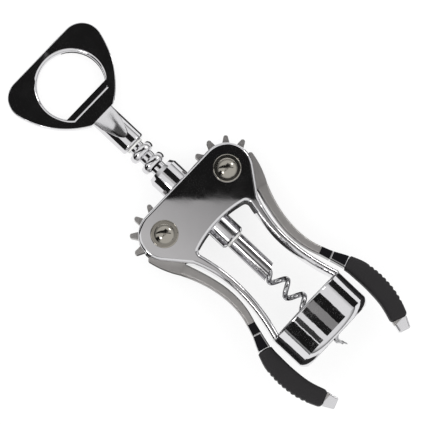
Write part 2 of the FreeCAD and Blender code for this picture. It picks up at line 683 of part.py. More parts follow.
def make_worm_socket():
    """The sleeve that is squeezed over the worm's shank, cut off at a slant."""
    top_y = socket_top_y()
    low_y = SOCKET_END_Y - SOCKET_RADIUS
    body = turned([
        (0.0, top_y), (SOCKET_RADIUS - SOCKET_CHAMFER, top_y), (SOCKET_RADIUS, top_y - SOCKET_CHAMFER),
        (SOCKET_RADIUS, low_y), (SOCKET_MOUTH_RADIUS, low_y),
        (SOCKET_MOUTH_RADIUS, WORM_SHANK_Y - SOCKET_MOUTH_SLOPE), (SOCKET_GRIP_RADIUS, WORM_SHANK_Y),
        (SOCKET_GRIP_RADIUS, WORM_START_Y), (0.0, WORM_START_Y),
    ])
    reach = 2.0 * SOCKET_RADIUS
    below = Part.makeBox(2.0 * reach, reach, 2.0 * reach, Vector(-reach, SOCKET_END_Y - reach, -reach))
    below.rotate(Vector(0, SOCKET_END_Y, 0), FRONT, SOCKET_SLANT_DEG)
    return solid(body.cut([below, rod(ROD_RADIUS, ROD_BOTTOM_Y, top_y)]))


# ---- Assembly -----------------------------------------------------------------------------------

def resting_turn_deg():
    """Turn about X that lays the tool on the bell's shoulder and the handle's far edge."""
    bell = (BELL_TOP_Y - BELL_TOP_ROUND, BELL_TOP_ROUND - BELL_RADIUS)
    plate = (PLATE_FAR_Y - PLATE_EDGE_ROUND, PLATE_EDGE_ROUND - PLATE_HALF_DEPTH)
    span = (plate[0] - bell[0], plate[1] - bell[1])
    reach = math.hypot(span[0], span[1])
    return math.degrees(math.asin((PLATE_EDGE_ROUND - BELL_TOP_ROUND) / reach)
                        - math.atan2(span[1], span[0]))


def build_tool():
    """Every node of the closed tool, in the tool's own frame."""
    nodes = {
        "body_frame": make_frame(),
        "guide_collar": make_guide_collar(),
        "bell": make_bell(),
        "bell_liner": make_bell_liner(),
        "rack_sleeve": make_rack_sleeve(),
        "upper_thrust_washer": make_thrust_washer(RACK_TOP_Y),
        "lower_thrust_washer": make_thrust_washer(RACK_BOTTOM_Y - THRUST_WASHER_THICKNESS),
        "opener_plate": make_opener_plate(),
        "neck": make_neck(),
        "spindle_rod": make_spindle_rod(),
        "worm": make_worm(),
        "worm_socket": make_worm_socket(),
    }
    lever = make_lever()
    ferrule = make_ferrule()
    grip = make_grip()
    for side, name in ((RIGHT, "right"), (LEFT, "left")):
        nodes[name + "_pivot_rivet"] = make_pivot_rivet(side)
        nodes[name + "_front_washer"] = make_pivot_washer(side, 1)
        nodes[name + "_rear_washer"] = make_pivot_washer(side, -1)
        nodes[name + "_lever"] = sided(lever, side)
        nodes[name + "_ferrule"] = sided(ferrule, side)
        nodes[name + "_grip"] = sided(grip, side)
    return nodes


def resting_placement(nodes):
    """Lay the tool down and put the origin under the middle of its bounding box."""
    turn = FreeCAD.Placement(Vector(0, 0, 0), FreeCAD.Rotation(Vector(1, 0, 0), resting_turn_deg()))
    laid = Part.makeCompound(list(nodes.values())).transformed(turn.toMatrix(), True)
    box = laid.optimalBoundingBox(False, False)
    shift = Vector(0.0, -(box.YMin + box.YMax) / 2.0, -box.ZMin)
    return FreeCAD.Placement(shift, FreeCAD.Rotation()).multiply(turn)


def main():
    os.makedirs("parts", exist_ok=True)
    nodes = build_tool()
    placement = resting_placement(nodes)
    for name, shape in nodes.items():
        shape.transformed(placement.toMatrix(), True).exportStep("parts/%s.step" % name)
    return nodes, placement


tool_nodes, tool_placement = main()
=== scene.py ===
import json
import math

import bmesh
import bpy
from mathutils import Matrix, Vector


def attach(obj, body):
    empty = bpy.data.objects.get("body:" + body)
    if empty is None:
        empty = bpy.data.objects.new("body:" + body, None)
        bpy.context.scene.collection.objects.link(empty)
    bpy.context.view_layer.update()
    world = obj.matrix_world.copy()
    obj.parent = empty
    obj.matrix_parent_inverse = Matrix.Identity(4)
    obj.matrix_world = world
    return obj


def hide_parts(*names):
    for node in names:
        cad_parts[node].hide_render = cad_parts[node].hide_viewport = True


# A lever corkscrew lying closed on a pale table, seen from almost straight above.
# Blender works in metres. Places come from the CAD frame: the tool's own axes are worked out from
# its joints, and sizes along those axes are named below in millimetres.

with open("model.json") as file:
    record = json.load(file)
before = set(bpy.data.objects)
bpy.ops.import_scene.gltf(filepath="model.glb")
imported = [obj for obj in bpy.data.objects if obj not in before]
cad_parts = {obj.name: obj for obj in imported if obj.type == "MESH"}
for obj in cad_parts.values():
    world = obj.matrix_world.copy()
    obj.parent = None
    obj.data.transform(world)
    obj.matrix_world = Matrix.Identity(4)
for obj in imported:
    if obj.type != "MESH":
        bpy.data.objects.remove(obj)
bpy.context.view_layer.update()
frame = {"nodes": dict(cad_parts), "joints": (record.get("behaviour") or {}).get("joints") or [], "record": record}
nodes = frame["nodes"]
MM = 0.001
MICRON = 0.001 * MM
LEFT = -1
RIGHT = 1
SIDE_NAMES = {LEFT: "left", RIGHT: "right"}

# ---- The tool's own axes ------------------------------------------------------------------------

joints = {joint["name"]: joint for joint in frame["joints"]}
left_pivot = Vector(joints["left_lever_pivot"]["pos_m"])
right_pivot = Vector(joints["right_lever_pivot"]["pos_m"])
TOOL_CENTRE = (left_pivot + right_pivot) / 2.0
ALONG = -Vector(joints["rack_slide"]["axis"]).normalized()      # towards the handle
ACROSS = (right_pivot - left_pivot).normalized()                # towards the right lever
FRONT = ACROSS.cross(ALONG).normalized()                        # away from the table
TOOL = Matrix.Translation(TOOL_CENTRE) @ Matrix((ACROSS, ALONG, FRONT)).transposed().to_4x4()


def tool_point(x, y, z=0.0):
    """A point given in millimetres along the tool's own axes."""
    return TOOL @ (Vector((x, y, z)) * MM)


# ---- Shader helpers -----------------------------------------------------------------------------

def new_material(name):
    """A new material, with its node list and links."""
    material = bpy.data.materials.new(name)
    material.use_nodes = True
    return material, material.node_tree.nodes, material.node_tree.links


def object_coordinates(node_list):
    """The socket that gives places on the piece itself, in metres."""
    return node_list.new("ShaderNodeTexCoord").outputs["Object"]


def noise(node_list, links, coordinates, scale, detail, stretch=None):
    """Noise of so many cells per metre, optionally stretched along some axes."""
    texture = node_list.new("ShaderNodeTexNoise")
    texture.inputs["Scale"].default_value = scale
    texture.inputs["Detail"].default_value = detail
    if stretch:
        mapping = node_list.new("ShaderNodeMapping")
        mapping.inputs["Scale"].default_value = stretch
        links.new(coordinates, mapping.inputs["Vector"])
        coordinates = mapping.outputs["Vector"]
    links.new(coordinates, texture.inputs["Vector"])
    return texture.outputs["Fac"]


def remap(node_list, links, source, low, high, low_value, high_value):
    """Map a grey value between two limits to two new values."""
    mapped = node_list.new("ShaderNodeMapRange")
    mapped.inputs["From Min"].default_value = low
    mapped.inputs["From Max"].default_value = high
    mapped.inputs["To Min"].default_value = low_value
    mapped.inputs["To Max"].default_value = high_value
    links.new(source, mapped.inputs["Value"])
    return mapped.outputs["Result"]


def colour_mix(node_list, links, factor, first, second):
    """Blend two colours, each given as three numbers or as a socket."""
    mix = node_list.new("ShaderNodeMix")
    mix.data_type = "RGBA"
    links.new(factor, mix.inputs["Factor"])
    for socket, colour in (("A", first), ("B", second)):
        colour_input = next(item for item in mix.inputs if item.name == socket and item.type == "RGBA")
        if isinstance(colour, bpy.types.NodeSocket):
            links.new(colour, colour_input)
        else:
            colour_input.default_value = (*colour, 1.0)
    return next(item for item in mix.outputs if item.type == "RGBA")


def scaled(colour, factor):
    """The colour made lighter or darker by a factor."""
    return tuple(min(1.0, channel * factor) for channel in colour)


def bump(node_list, links, height, distance, previous=None):
    """A bumpy surface of so many metres from valley to top, on an earlier bump if one is given."""
    node = node_list.new("ShaderNodeBump")
    node.inputs["Strength"].default_value = 1.0
    node.inputs["Distance"].default_value = distance
    links.new(height, node.inputs["Height"])
    if previous:
        links.new(previous, node.inputs["Normal"])
    return node.outputs["Normal"]


# ---- Materials ----------------------------------------------------------------------------------

PATCH_DETAIL = 4.0                 # detail of every noise that makes smudges or patches
SMUDGE_SCALE = 110.0
SMUDGE_SHADES = (0.94, 1.04)       # darkest and lightest shade of the plate's colour
SMUDGE_RANGE = (0.4, 0.7)          # noise values between which the plate gets rougher
SMUDGE_ROUGHNESS = 0.045           # how much rougher the smudged places are
RUBBING_SCALE = 2200.0
RUBBING_DETAIL = 2.0
RUBBING_STRETCH = (1.0, 0.12, 1.0)
RUBBING_HEIGHT = 1.2 * MICRON
RIPPLE_DETAIL = 1.5
RIPPLE_STRETCH = (0.7, 1.0, 0.7)


def plated(name, colour, roughness, ripple=0.0, ripple_scale=0.0):
    """Polished plate: a mirror with faint smudges, fine rubbing marks and, if asked, a slight ripple."""
    material, node_list, links = new_material(name)
    shader = node_list["Principled BSDF"]
    shader.inputs["Metallic"].default_value = 1.0
    where = object_coordinates(node_list)
    smudges = noise(node_list, links, where, SMUDGE_SCALE, PATCH_DETAIL)
    darkest, lightest = [scaled(colour, shade) for shade in SMUDGE_SHADES]
    links.new(colour_mix(node_list, links, smudges, darkest, lightest), shader.inputs["Base Color"])
    links.new(remap(node_list, links, smudges, *SMUDGE_RANGE, roughness, roughness + SMUDGE_ROUGHNESS),
              shader.inputs["Roughness"])
    rubbing = noise(node_list, links, where, RUBBING_SCALE, RUBBING_DETAIL, RUBBING_STRETCH)
    normal = bump(node_list, links, rubbing, RUBBING_HEIGHT)
    if ripple:
        waves = noise(node_list, links, where, ripple_scale, RIPPLE_DETAIL, RIPPLE_STRETCH)
        normal = bump(node_list, links, waves, ripple, normal)
    links.new(normal, shader.inputs["Normal"])
    return material


WORN_SCALE = 90.0
WORN_SHADE = 1.4                   # how much lighter the worn patches are
WORN_RANGE = (0.35, 0.7)           # noise values between which the surface gets rougher
WORN_ROUGHNESS = 1.15              # how many times rougher the worn patches are
GRAIN_DETAIL = 3.0


def moulded(name, colour, roughness, grain_scale, grain_height, specular=0.5):
    """Moulded plastic or rubber with a fine grain and slightly lighter worn patches."""
    material, node_list, links = new_material(name)
    shader = node_list["Principled BSDF"]
    shader.inputs["Specular IOR Level"].default_value = specular
    where = object_coordinates(node_list)
    patches = noise(node_list, links, where, WORN_SCALE, PATCH_DETAIL)
    links.new(colour_mix(node_list, links, patches, colour, scaled(colour, WORN_SHADE)),
              shader.inputs["Base Color"])
    links.new(remap(node_list, links, patches, *WORN_RANGE, roughness, roughness * WORN_ROUGHNESS),
              shader.inputs["Roughness"])
    grain = noise(node_list, links, where, grain_scale, GRAIN_DETAIL)
    links.new(bump(node_list, links, grain, grain_height), shader.inputs["Normal"])
    return material


LEVER_TIP_START = -98.2 * MM       # beyond this the lever's end is polished
LEVER_TIP_BLEND = 0.2 * MM
SATIN_ROUGHNESS = 0.42
POLISHED_ROUGHNESS = 0.07
SATIN_PATCH_SCALE = 170.0
SATIN_SHADES = (0.9, 1.1)
SATIN_GRAIN_SCALE = 2600.0
SATIN_GRAIN_DETAIL = 2.0
SATIN_GRAIN_HEIGHT = 4.0 * MICRON


def lever_metal(name, satin, polished):
    """Satin grey arms and gear teeth, and a polished end beyond the grip."""
    material, node_list, links = new_material(name)
    shader = node_list["Principled BSDF"]
    shader.inputs["Metallic"].default_value = 1.0
    where = object_coordinates(node_list)
    along = node_list.new("ShaderNodeVectorMath")
    along.operation = "DOT_PRODUCT"
    along.inputs[1].default_value = ALONG
    links.new(where, along.inputs[0])
    start = TOOL_CENTRE.dot(ALONG) + LEVER_TIP_START
    polish = remap(node_list, links, along.outputs["Value"], start, start - LEVER_TIP_BLEND, 0.0, 1.0)
    patches = noise(node_list, links, where, SATIN_PATCH_SCALE, PATCH_DETAIL)
    darkest, lightest = [scaled(satin, shade) for shade in SATIN_SHADES]
    grey = colour_mix(node_list, links, patches, darkest, lightest)
    links.new(colour_mix(node_list, links, polish, grey, polished), shader.inputs["Base Color"])
    links.new(remap(node_list, links, polish, 0.0, 1.0, SATIN_ROUGHNESS, POLISHED_ROUGHNESS),
              shader.inputs["Roughness"])
    grain = noise(node_list, links, where, SATIN_GRAIN_SCALE, SATIN_GRAIN_DETAIL)
    links.new(bump(node_list, links, grain, SATIN_GRAIN_HEIGHT), shader.inputs["Normal"])
    return material


CHROME = (0.70, 0.695, 0.71)
NICKEL = (0.37, 0.35, 0.31)
STEEL = (0.52, 0.52, 0.53)
SATIN_GREY = (0.44, 0.425, 0.415)
LINER_BLACK = (0.020, 0.020, 0.020)
THRUST_WHITE = (0.70, 0.70, 0.68)
GLOSS_BLACK = (0.005, 0.0048, 0.006)
RUBBER_BLACK = (0.014, 0.013, 0.014)

# one material for each material slot of the CAD record
MATERIALS = {
    "frame_chrome": plated("frame_plate", CHROME, roughness=0.03),
    "bell_chrome": plated("bell_plate", CHROME, roughness=0.03, ripple=34.0 * MICRON, ripple_scale=420.0),
    "handle_chrome": plated("handle_plate", CHROME, roughness=0.035),
    "rack_chrome": plated("rack_plate", CHROME, roughness=0.05),
    "rivet_nickel": plated("rivet_plate", NICKEL, roughness=0.12),
    "worm_steel": plated("worm_wire", STEEL, roughness=0.08, ripple=40.0 * MICRON, ripple_scale=700.0),
    "liner_plastic": moulded("liner_plastic", LINER_BLACK, roughness=0.50,
                             grain_scale=1400.0, grain_height=20.0 * MICRON),
    "thrust_plastic": moulded("thrust_plastic", THRUST_WHITE, roughness=0.40,
                              grain_scale=1400.0, grain_height=10.0 * MICRON),
    "lever_satin": lever_metal("lever_metal", satin=SATIN_GREY, polished=CHROME),
    "ferrule_black": moulded("ferrule_gloss", GLOSS_BLACK, roughness=0.10,
                             grain_scale=500.0, grain_height=2.0 * MICRON, specular=0.12),
    "grip_rubber": moulded("grip_rubber", RUBBER_BLACK, roughness=0.60,
                           grain_scale=1500.0, grain_height=30.0 * MICRON, specular=0.25),
}
# chrome for the ferrules' painted highlights: their band, end bevel and edge lines are coloured chrome to stand in
# for the highlights that these edges of the black plastic catch
PAINTED_HIGHLIGHT_CHROME = plated("ferrule_painted_highlight", CHROME, roughness=0.06)


def dress_cad_nodes():
    """Give every CAD piece the material of its slot."""
    slot_of = {part["node"]: part["material_slot"] for part in frame["record"]["subparts"]}
    for name, obj in nodes.items():
        obj.data.materials.clear()
        obj.data.materials.append(MATERIALS[slot_of[name]])


# ---- Lofted pieces along the levers -------------------------------------------------------------

# the ferrules' and grips' centre line, right side, in millimetres along the tool's axes
HANDLE_LINE = [(21.7, -53.0), (23.3, -58.0), (25.85, -65.0), (27.3, -71.5), (27.7, -80.0),
               (26.6, -89.0), (23.5, -97.9), (21.6, -102.9)]
FERRULE_STATIONS = (0, 2)          # the ferrule's first and last point of the line
FERRULE_WIDTHS = [3.4, 3.9, 5.4]   # its width at each of them and at those between
FERRULE_HALF_DEPTH = 4.4
GRIP_STATIONS = (2, 6)
GRIP_WIDTHS = [6.4, 8.1, 8.8, 8.5, 7.7]
GRIP_HALF_DEPTH = 4.6
SPLINE_STEPS = 40                  # places worked out between two points of the line
HEADING_STEP = 0.01                # the line's direction is taken over this share either side
CORNER_STEPS = 7                   # steps round each corner of a rounded section
SIDE_STEPS = 9                     # and along each of its sides


def smooth_values(points, index, share):
    """Catmull-Rom value between points[index] and the next one."""
    last = len(points) - 1
    before = points[max(index - 1, 0)]
    here = points[index]
    after = points[min(index + 1, last)]
    beyond = points[min(index + 2, last)]
    return 0.5 * (2.0 * here + share * (after - before)
                  + share ** 2 * (2.0 * before - 5.0 * here + 4.0 * after - beyond)
                  + share ** 3 * (3.0 * here - before - 3.0 * after + beyond))


def stations(first, last, widths):
    """Centre, outward direction, half width and distance along, closely spaced along a stretch."""
    centres = [Vector(point) for point in HANDLE_LINE]
    places = []
    for index in range(first, last):
        for step in range(SPLINE_STEPS):
            places.append((index, step / SPLINE_STEPS))
    places.append((last, 0.0))
    found = []
    travelled = 0.0
    for index, share in places:
        centre = smooth_values(centres, index, share)
        ahead = (smooth_values(centres, index, share + HEADING_STEP)
                 - smooth_values(centres, index, share - HEADING_STEP))
        outward = Vector((-ahead.y, ahead.x)).normalized()
        width = smooth_values(widths, index - first, share) if share else widths[index - first]
        if found:
            travelled += (centre - found[-1][0]).length
        found.append((centre, outward, width / 2.0, travelled))
    return found


def rounded_section(half_width, half_depth, radius):
    """Points (across, depth) round a rounded rectangle, starting at the outer front corner."""
    def corner_point(turn, angle):
        """A point on the rounding of one of the four corners."""
        middle_across = (half_width - radius) * (1 if turn in (0, 3) else -1)
        middle_depth = (half_depth - radius) * (1 if turn in (0, 1) else -1)
        return (middle_across + radius * math.cos(angle), middle_depth + radius * math.sin(angle))

    points = []
    for turn in range(4):
        quarter = math.pi / 2.0 * turn
        for step in range(CORNER_STEPS + 1):
            points.append(corner_point(turn, quarter + math.pi / 2.0 * step / CORNER_STEPS))
        start = Vector(points[-1])
        end = Vector(corner_point((turn + 1) % 4, math.pi / 2.0 * (turn + 1)))
        points += [tuple(start.lerp(end, step / SIDE_STEPS)) for step in range(1, SIDE_STEPS)]
    return points


def lofted(name, side, rings, materials, material_of=None):
    """A closed mesh through rings of points (x, y, z) in millimetres, drawn for the right side."""
    mesh = bmesh.new()
    rows = [[mesh.verts.new(tool_point(side * x, y, z)) for x, y, z in ring] for ring in rings]
    count = len(rows[0])
    for row_index, (low, high) in enumerate(zip(rows, rows[1:])):
        for index in range(count):
            following = (index + 1) % count
            face = mesh.faces.new((low[index], low[following], high[following], high[index]))
            face.smooth = True
            if material_of:
                face.material_index = material_of(row_index, index)
    for row in (rows[0], rows[-1]):
        mesh.faces.new(row)
    bmesh.ops.recalc_face_normals(mesh, faces=mesh.faces)
    data = bpy.data.meshes.new(name)
    mesh.to_mesh(data)
    mesh.free()
    for material in materials:
        data.materials.append(material)
    obj = bpy.data.objects.new(name, data)
    bpy.context.scene.collection.objects.link(obj)
    return obj


def ring_at(station, section):
    """One ring of a lofted piece: a section set up across the line at a station."""
    centre, outward, _, _ = station
    return [(centre.x + outward.x * across, centre.y + outward.y * across, depth)
            for across, depth in section]


# ---- Grips --------------------------------------------------------------------------------------

GRIP_EDGE_ROUND = 1.9
GRIP_END_ROUND = 1.9               # the grip's end outline turns in over this length
GRIP_START_ROUND = 0.5
GRIP_TURN_IN = 0.8                 # how much of a full rounding the ends get
RIB_PITCH = 2.2
RIB_DEPTH = 0.42
RIB_SHARPNESS = 1.6                # above 1 the ribs are wider than the valleys
RIBS_START = 6.5                   # the ribbed stretch, measured from the grip's start
RIBS_END = 29.0
RIBS_FADE = 2.5
RIBS_INNER_EDGE = 0.45             # the valleys start at this share of the half width
RIBS_INNER_FADE = 0.5              # and reach their full depth this much further out
PANEL_INSET = 1.5                  # a shallow line runs inside the front and back faces' edges
PANEL_DEPTH = 0.10
PANEL_LINE_SPREAD = 0.22
FACE_ZONE = 0.6                    # points this near to the full depth lie on the front or back face


def ease(value):
    """A smooth rise from 0 to 1, held to those limits outside them."""
    value = max(0.0, min(1.0, value))
    return value * value * (3.0 - 2.0 * value)


def rib_depth(distance, across_share):
    """How far a rib's valley cuts into the outer edge at a distance along the grip."""
    stretch = ease((distance - RIBS_START) / RIBS_FADE) * ease((RIBS_END - distance) / RIBS_FADE)
    valley = (0.5 + 0.5 * math.cos(2.0 * math.pi * (distance - RIBS_START) / RIB_PITCH)) ** RIB_SHARPNESS
    return RIB_DEPTH * stretch * valley * ease((across_share - RIBS_INNER_EDGE) / RIBS_INNER_FADE)


def rounding(gap, radius):
    """How far a rounded end turns in at a distance from the end."""
    if gap >= radius:
        return 0.0
    return radius - math.sqrt(radius ** 2 - (radius - gap) ** 2)


def grip_ring(station, length):
    """The grip's outline at one station, with its ribs, face lines and rounded ends."""
    _, _, half_width, distance = station
    inset = rounding(distance, GRIP_START_ROUND) + rounding(length - distance, GRIP_END_ROUND)
    half_width -= GRIP_TURN_IN * inset
    half_depth = GRIP_HALF_DEPTH - GRIP_TURN_IN * inset
    section = []
    for across, depth in rounded_section(half_width, half_depth, GRIP_EDGE_ROUND):
        level = 1.0
        if abs(depth) > half_depth - FACE_ZONE:
            edge_gap = half_width - abs(across)
            line = math.exp(-((edge_gap - PANEL_INSET) / PANEL_LINE_SPREAD) ** 2)
            level -= PANEL_DEPTH * line / half_depth
        section.append((across - rib_depth(distance, across / half_width), depth * level))
    return ring_at(station, section)


def make_grip(side):
    """A rubber grip with fine ribs along its outer edge."""
    places = stations(*GRIP_STATIONS, GRIP_WIDTHS)
    _, _, _, length = places[-1]
    name = SIDE_NAMES[side]
    rings = [grip_ring(place, length) for place in places]
    grip = lofted("%s_grip_rubber" % name, side, rings, [MATERIALS["grip_rubber"]])
    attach(grip, "%s_lever" % name)
    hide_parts("%s_grip" % name)


# ---- Ferrules -----------------------------------------------------------------------------------

FERRULE_BEVEL = 0.35
FERRULE_LINE = 0.45                # painted highlight: a chrome line beside the inner bevels, where the ferrule flares
BAND_CENTRE = 5.2                  # raised band across the ferrule, from its start, coloured chrome as a painted highlight
BAND_HALF_LENGTH = 0.30
BAND_PROUD = 0.06
END_BEVEL = 0.45
END_BEVEL_SLOPE = 0.7              # how far the end bevel turns in for its length
END_LINE = 0.12                    # the end's painted highlight starts this far before the bevel
GLOSS = 0                          # places in the ferrule's list of materials: black gloss, then the chrome of the painted highlights
BRIGHT = 1
INNER_LINES = (3, 7)               # the section's edges that start the two painted highlight lines


def bevelled_section(half_width, half_depth):
    """Corners (across, depth) of a bevelled rectangle, with a line beside each bevel on the faces for a painted
    highlight.
    """
    corners = []
    for across_sign, depth_sign in ((1, 1), (-1, 1), (-1, -1), (1, -1)):
        on_side = (across_sign * half_width, depth_sign * (half_depth - FERRULE_BEVEL))
        on_face = (across_sign * (half_width - FERRULE_BEVEL), depth_sign * half_depth)
        inside = (across_sign * (half_width - FERRULE_BEVEL - FERRULE_LINE), depth_sign * half_depth)
        three = (on_side, on_face, inside)
        corners += three if across_sign * depth_sign > 0 else reversed(three)
    return corners


def ferrule_material(zone, corner_index):
    """Chrome as a painted highlight where the band, the end bevel and the inner lines are."""
    on_line = zone == "flare" and corner_index in INNER_LINES
    return BRIGHT if zone in ("band", "end") or on_line else GLOSS


def make_ferrule(side):
    """A glossy black ferrule with painted highlights in chrome: a raised band, the end bevel, and lines where it
    flares to the grip.
    """
    places = stations(*FERRULE_STATIONS, FERRULE_WIDTHS)
    _, _, _, length = places[-1]
    name = SIDE_NAMES[side]
    rings = []
    zones = []
    for place in places:
        _, _, half_width, distance = place
        zone = "start" if distance < BAND_CENTRE else "flare"
        grow = 0.0
        if abs(distance - BAND_CENTRE) < BAND_HALF_LENGTH:
            zone = "band"
            grow = BAND_PROUD
        if length - distance < END_BEVEL + END_LINE:
            zone = "end"
            grow = -END_BEVEL_SLOPE * max(0.0, END_BEVEL - (length - distance))
        section = bevelled_section(half_width + grow, FERRULE_HALF_DEPTH + grow)
        rings.append(ring_at(place, section))
        zones.append(zone)
    ferrule = lofted("%s_ferrule_body" % name, side, rings, [MATERIALS["ferrule_black"], PAINTED_HIGHLIGHT_CHROME],
                     lambda row, corner: ferrule_material(zones[row], corner))
    for polygon in ferrule.data.polygons:
        polygon.use_smooth = False
    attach(ferrule, "%s_lever" % name)
    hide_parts("%s_ferrule" % name)


# ---- Camera -------------------------------------------------------------------------------------

CAMERA_LEAN_LEFT_DEG = 5.0         # the camera stands this far to the tool's left of straight above
CAMERA_LEAN_BELL_DEG = 3.5         # and this far towards the bell
CAMERA_ROLL_DEG = 43.3             # the handle points to the picture's upper left
CAMERA_DISTANCE = 1.30
SENSOR_WIDTH = 36.0
VIEW_REACH = 20.0                  # nothing in the studio is further from the camera than this
PICTURE_WIDTH = 0.1879             # width of the view at the tool's centre plane
VIEW_CENTRE_RIGHT = 9.8 * MM       # the picture's centre, measured from the tool's centre
VIEW_CENTRE_DOWN = 4.05 * MM


def camera_axes():
    """Right, up and back directions of the camera."""
    back = (FRONT - math.tan(math.radians(CAMERA_LEAN_LEFT_DEG)) * ACROSS
            - math.tan(math.radians(CAMERA_LEAN_BELL_DEG)) * ALONG).normalized()
    roll = math.radians(CAMERA_ROLL_DEG)
    up = math.cos(roll) * ACROSS + math.sin(roll) * ALONG
    up = (up - up.dot(back) * back).normalized()
    return up.cross(back), up, back


def make_camera():
    """Set up the camera; returns its target and its right, up and back directions."""
    right, up, back = camera_axes()
    target = TOOL_CENTRE + VIEW_CENTRE_RIGHT * right - VIEW_CENTRE_DOWN * up
    data = bpy.data.cameras.new("camera")
    data.sensor_width = SENSOR_WIDTH
    data.lens = SENSOR_WIDTH * CAMERA_DISTANCE / PICTURE_WIDTH
    data.clip_end = VIEW_REACH
    camera = bpy.data.objects.new("camera", data)
    camera.matrix_world = (Matrix.Translation(target + CAMERA_DISTANCE * back)
                           @ Matrix((right, up, back)).transposed().to_4x4())
    bpy.context.scene.collection.objects.link(camera)
    bpy.context.scene.camera = camera
    return target, right, up, back


# ---- Studio: floor, cards and lights ------------------------------------------------------------

SQUARE = ((-1, -1), (1, -1), (1, 1), (-1, 1))
FLOOR_HALF_SIZE = 4.0
FLOOR_COLOUR = (0.25, 0.25, 0.25)
FLOOR_GLOW = 0.79
WHITE = (1.0, 1.0, 1.0)
CARD_WHITE = (1.0, 0.985, 0.975)   # the cards' slightly warm white


def flat_piece(name, corners, material):
    """One flat studio piece with the given corners."""
    mesh = bpy.data.meshes.new(name)
    mesh.from_pydata([tuple(corner) for corner in corners], [], [tuple(range(len(corners)))])
    mesh.materials.append(material)
    obj = bpy.data.objects.new(name, mesh)
    bpy.context.scene.collection.objects.link(obj)
    return obj


def reflection_only(obj):
    """Show a studio card in mirrors only: it casts no shadow and lights nothing dull."""
    obj.visible_camera = False
    obj.visible_diffuse = False
    obj.visible_shadow = False
    obj.visible_transmission = False
    obj.visible_volume_scatter = False


def glow(name, brightness, right_brightness=None):
    """An even glow, or one that changes across the tool from left to right."""
    material, node_list, links = new_material(name)
    node_list.remove(node_list["Principled BSDF"])
    emission = node_list.new("ShaderNodeEmission")
    emission.inputs["Color"].default_value = (*CARD_WHITE, 1.0)
    emission.inputs["Strength"].default_value = brightness
    if right_brightness is not None:
        across = node_list.new("ShaderNodeVectorMath")
        across.operation = "DOT_PRODUCT"
        across.inputs[1].default_value = ACROSS
        links.new(object_coordinates(node_list), across.inputs[0])
        middle = TOOL_CENTRE.dot(ACROSS) + FADE_MIDDLE
        strength = remap(node_list, links, across.outputs["Value"], middle - FADE_HALF_RANGE,
                         middle + FADE_HALF_RANGE, brightness, right_brightness)
        links.new(strength, emission.inputs["Strength"])
    links.new(emission.outputs["Emission"], node_list["Material Output"].inputs["Surface"])
    return material


def make_floor():
    """A pale table that also glows softly, like a light table, so that shadows stay faint."""
    material, node_list, links = new_material("floor")
    shader = node_list["Principled BSDF"]
    shader.inputs["Base Color"].default_value = (*FLOOR_COLOUR, 1.0)
    shader.inputs["Roughness"].default_value = 1.0
    shader.inputs["Specular IOR Level"].default_value = 0.0
    shader.inputs["Emission Color"].default_value = (*WHITE, 1.0)
    shader.inputs["Emission Strength"].default_value = FLOOR_GLOW
    corners = [Vector((x * FLOOR_HALF_SIZE, y * FLOOR_HALF_SIZE, 0.0)) for x, y in SQUARE]
    flat_piece("floor", corners, material)


CAMERA_Y = -89.0                   # the camera stands over this place along the tool
STRIP_DISTANCE = 750.0
STRIP_STEPS = 6
STRIP_LIFT = 1.0 * MM              # strips that reach the table lie just above it
# Strips of the studio that the round plated parts mirror as bands along the tool. Each set gives
# the mirroring part's radius and its stretch along the tool. Each strip is given by two
# directions, in degrees from straight ahead towards the right, and by how bright it looks.
STRIP_SETS = {
    "bell_strip": (20.5, -90.0, -54.0,
                   [(-83, -51, 0.012), (-48, -35, 0.045), (-21.5, -4, 0.016), (-4, 18.5, 0.29),
                    (18.5, 43.5, 0.012), (78, 101, 0.014)]),
    "sleeve_strip": (4.0, -52.0, -22.0,
                     [(-123, -75, 0.30), (-65, -43, 0.12), (-33, -17, 0.03), (-17, 8, 0.30),
                      (8, 41, 0.10), (41, 97, 0.33), (97, 121, 0.20)]),
    "collar_strip": (5.5, -21.5, -1.0,
                     [(-131, -55, 0.014), (-5, 17, 0.20), (19, 40, 0.014), (99, 160, 0.07)]),
    "neck_strip": (5.5, 0.0, 200.0,
                   [(-100, -50, 0.014), (2, 40, 0.014), (115, 150, 0.05)]),
}


def strip_point(radius, y, degrees):
    """Where a part of the given radius, seen from the camera, mirrors a strip in this direction."""
    angle = math.radians(degrees)
    start = Vector((radius * math.sin(angle / 2.0), y, radius * math.cos(angle / 2.0)))
    spread = (y - CAMERA_Y) / (CAMERA_DISTANCE / MM)
    end = start + STRIP_DISTANCE * Vector((math.sin(angle), spread, math.cos(angle)))
    near = tool_point(*start)
    far = tool_point(*end)
    if far.z < STRIP_LIFT:
        far = near.lerp(far, (near.z - STRIP_LIFT) / (near.z - far.z))
    return far


def make_strips(name, radius, start_y, end_y, strips):
    """One set of strips, each bent round the tool in short flat steps."""
    for index, (start, end, brightness) in enumerate(strips):
        title = "%s_%d" % (name, index)
        material = glow(title, brightness)
        turns = [start + (end - start) * step / STRIP_STEPS for step in range(STRIP_STEPS + 1)]
        for step, (low, high) in enumerate(zip(turns, turns[1:])):
            corners = [strip_point(radius, start_y, low), strip_point(radius, start_y, high),
                       strip_point(radius, end_y, high), strip_point(radius, end_y, low)]
            reflection_only(flat_piece("%s_%d" % (title, step), corners, material))


